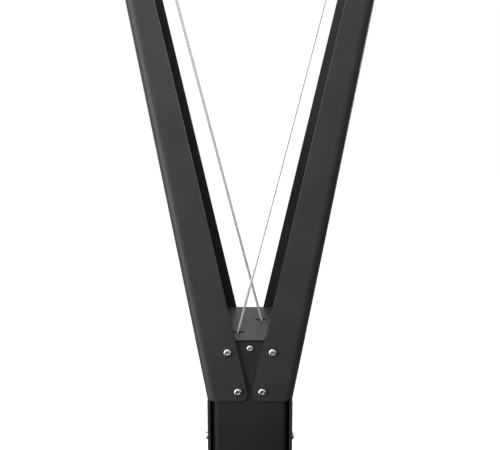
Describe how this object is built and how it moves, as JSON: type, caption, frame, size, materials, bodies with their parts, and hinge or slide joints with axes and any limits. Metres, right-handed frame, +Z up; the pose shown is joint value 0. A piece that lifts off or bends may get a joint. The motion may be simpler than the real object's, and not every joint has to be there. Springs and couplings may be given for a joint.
{
  "type": "ski ergometer",
  "caption": "Standing ski training machine: two leaning arms with cord handles, a fan flywheel in a round housing with a damper, a tilting monitor and a floor stand.",
  "frame": {"origin": "on the floor, in the middle of the stand's footprint", "axes": "+Z up, the front of the machine looks along -Y, the user stands on the platform on the -Y side"},
  "size_m": [0.597, 1.27, 2.1595],
  "materials": {
    "arm_paint": "satin powder coat, dark grey",
    "frame_paint": "satin powder coat, dark grey",
    "cap_paint": "satin powder coat, grey",
    "cover_plastic": "fine-grained moulded cover",
    "housing_plastic": "moulded, fine grain",
    "rim_paint": "pierced sheet, black",
    "pulley_plastic": "glass-filled nylon",
    "sheave_plastic": "turned acetal",
    "steel": "zinc plated",
    "screw_steel": "polished stainless",
    "cast_alloy": "cast, machined seats",
    "fan_alloy": "spun and riveted",
    "clutch_steel": "ground",
    "cord_fibre": "braided polyester",
    "shock_fibre": "braided sleeve on rubber core",
    "handle_plastic": "moulded",
    "grip_rubber": "soft, matte",
    "strap_webbing": "woven nylon webbing",
    "ball_plastic": "moulded",
    "monitor_plastic": "moulded, fine grain",
    "monitor_glass": "display window",
    "button_rubber": "silicone",
    "deck_plastic": "textured board",
    "tread_rubber": "ribbed mat",
    "foot_rubber": "moulded",
    "stand_paint": "satin powder coat, dark grey",
    "wheel_plastic": "moulded"
  },
  "bodies": {
    "root": {"frame_channel": "frame_paint", "front_cover": "cover_plastic", "neck_cap": "cap_paint", "socket_screws": "screw_steel", "right_arm": "arm_paint", "left_arm": "arm_paint", "right_head": "pulley_plastic", "left_head": "pulley_plastic", "cord_guides": "ball_plastic", "axle_bolts": "steel", "drive_cords": "cord_fibre", "pulley_brackets": "steel", "shock_cords": "shock_fibre", "shaft_bearings": "clutch_steel", "bearing_plates": "cast_alloy", "housing_back": "housing_plastic", "housing_rim": "rim_paint", "housing_front": "housing_plastic", "inlet_grille": "housing_plastic", "speed_sensor": "pulley_plastic", "monitor_arm": "frame_paint", "stand_upright": "stand_paint", "upright_cap": "foot_rubber", "platform_frame": "stand_paint", "foot_deck": "deck_plastic", "tread_pads": "tread_rubber", "rubber_feet": "foot_rubber", "stand_bolts": "steel"},
    "flywheel": {"flywheel_shaft": "steel", "fan_wheel": "fan_alloy"},
    "front_spool": {"front_spool": "pulley_plastic", "front_clutch": "clutch_steel"},
    "rear_spool": {"rear_spool": "pulley_plastic", "rear_clutch": "clutch_steel"},
    "right_sheave": {"right_top_sheave": "sheave_plastic"},
    "left_sheave": {"left_top_sheave": "sheave_plastic"},
    "front_roller": {"front_slot_roller": "sheave_plastic"},
    "rear_roller": {"rear_slot_roller": "sheave_plastic"},
    "front_return": {"front_return_sheave": "sheave_plastic"},
    "rear_return": {"rear_return_sheave": "sheave_plastic"},
    "right_pull": {"right_pull_cord": "cord_fibre", "right_stop_ball": "ball_plastic", "right_handle": "handle_plastic", "right_grip": "grip_rubber", "right_hand_strap": "strap_webbing"},
    "left_pull": {"left_pull_cord": "cord_fibre", "left_stop_ball": "ball_plastic", "left_handle": "handle_plastic", "left_grip": "grip_rubber", "left_hand_strap": "strap_webbing"},
    "damper": {"damper_ring": "pulley_plastic"},
    "monitor": {"monitor_back": "monitor_plastic", "monitor_bezel": "monitor_plastic", "monitor_screen": "monitor_glass"},
    "button_1": {"menu_button_1": "button_rubber"},
    "button_2": {"menu_button_2": "button_rubber"},
    "button_3": {"menu_button_3": "button_rubber"},
    "button_4": {"menu_button_4": "button_rubber"},
    "right_wheel": {"right_wheel": "wheel_plastic"},
    "left_wheel": {"left_wheel": "wheel_plastic"}
  },
  "joints": [
    {"name": "right_pull", "type": "slide", "parent": "root", "child": "right_pull", "axis": [0, -0.342, -0.9397], "range_m": [0, 1.3], "stiffness_N_per_m": 8, "springref_m": -1.5},
    {"name": "left_pull", "type": "slide", "parent": "root", "child": "left_pull", "axis": [0, -0.342, -0.9397], "range_m": [0, 1.3], "stiffness_N_per_m": 8, "springref_m": -1.5},
    {"name": "flywheel_spin", "type": "hinge", "parent": "root", "child": "flywheel", "pos_m": [0, 0.33, 0.76], "axis": [0, 1, 0], "continuous": true},
    {"name": "front_spool_turn", "type": "hinge", "parent": "root", "child": "front_spool", "pos_m": [0, 0.355, 0.76], "axis": [0, 1, 0], "continuous": true},
    {"name": "rear_spool_turn", "type": "hinge", "parent": "root", "child": "rear_spool", "pos_m": [0, 0.4035, 0.76], "axis": [0, 1, 0], "continuous": true},
    {"name": "right_sheave_turn", "type": "hinge", "parent": "root", "child": "right_sheave", "pos_m": [0.19675, 0.328, 2.11], "axis": [0.9771, 0, -0.2127], "continuous": true},
    {"name": "left_sheave_turn", "type": "hinge", "parent": "root", "child": "left_sheave", "pos_m": [-0.19675, 0.328, 2.11], "axis": [0.9771, 0, 0.2127], "continuous": true},
    {"name": "front_roller_turn", "type": "hinge", "parent": "root", "child": "front_roller", "pos_m": [-0.00838, 0.355, 1.23525], "axis": [0, 1, 0], "continuous": true},
    {"name": "rear_roller_turn", "type": "hinge", "parent": "root", "child": "rear_roller", "pos_m": [0.00838, 0.4035, 1.23525], "axis": [0, 1, 0], "continuous": true},
    {"name": "front_return_turn", "type": "hinge", "parent": "root", "child": "front_return", "pos_m": [-0.015, 0.377, 0.465], "axis": [0, 1, 0], "continuous": true},
    {"name": "rear_return_turn", "type": "hinge", "parent": "root", "child": "rear_return", "pos_m": [-0.015, 0.4255, 0.465], "axis": [0, 1, 0], "continuous": true},
    {"name": "damper_turn", "type": "hinge", "parent": "root", "child": "damper", "pos_m": [0, 0.224, 0.76], "axis": [0, 1, 0], "range_deg": [-44, 0]},
    {"name": "monitor_tilt", "type": "hinge", "parent": "root", "child": "monitor", "pos_m": [0, 0.252, 1.057], "axis": [1, 0, 0], "range_deg": [-20, 10]},
    {"name": "button_1_press", "type": "slide", "parent": "monitor", "child": "button_1", "axis": [0, 0.9659, -0.2588], "range_m": [0, 0.0012], "stiffness_N_per_m": 400, "springref_m": -0.001},
    {"name": "button_2_press", "type": "slide", "parent": "monitor", "child": "button_2", "axis": [0, 0.9659, -0.2588], "range_m": [0, 0.0012], "stiffness_N_per_m": 400, "springref_m": -0.001},
    {"name": "button_3_press", "type": "slide", "parent": "monitor", "child": "button_3", "axis": [0, 0.9659, -0.2588], "range_m": [0, 0.0012], "stiffness_N_per_m": 400, "springref_m": -0.001},
    {"name": "button_4_press", "type": "slide", "parent": "monitor", "child": "button_4", "axis": [0, 0.9659, -0.2588], "range_m": [0, 0.0012], "stiffness_N_per_m": 400, "springref_m": -0.001},
    {"name": "right_wheel_roll", "type": "hinge", "parent": "root", "child": "right_wheel", "pos_m": [0.281, 0.6, 0.041], "axis": [1, 0, 0], "continuous": true},
    {"name": "left_wheel_roll", "type": "hinge", "parent": "root", "child": "left_wheel", "pos_m": [-0.281, 0.6, 0.041], "axis": [1, 0, 0], "continuous": true}
  ],
  "couplings": [
    {"joint": "front_spool_turn", "follows": "right_pull", "rad_per_m": -31.25},
    {"joint": "rear_spool_turn", "follows": "left_pull", "rad_per_m": -31.25},
    {"joint": "right_sheave_turn", "follows": "right_pull", "rad_per_m": 26.316},
    {"joint": "left_sheave_turn", "follows": "left_pull", "rad_per_m": 26.316},
    {"joint": "front_roller_turn", "follows": "right_pull", "rad_per_m": 71.429},
    {"joint": "rear_roller_turn", "follows": "left_pull", "rad_per_m": -71.429},
    {"joint": "front_return_turn", "follows": "right_pull", "rad_per_m": -16.602},
    {"joint": "rear_return_turn", "follows": "left_pull", "rad_per_m": -16.602}
  ]
}
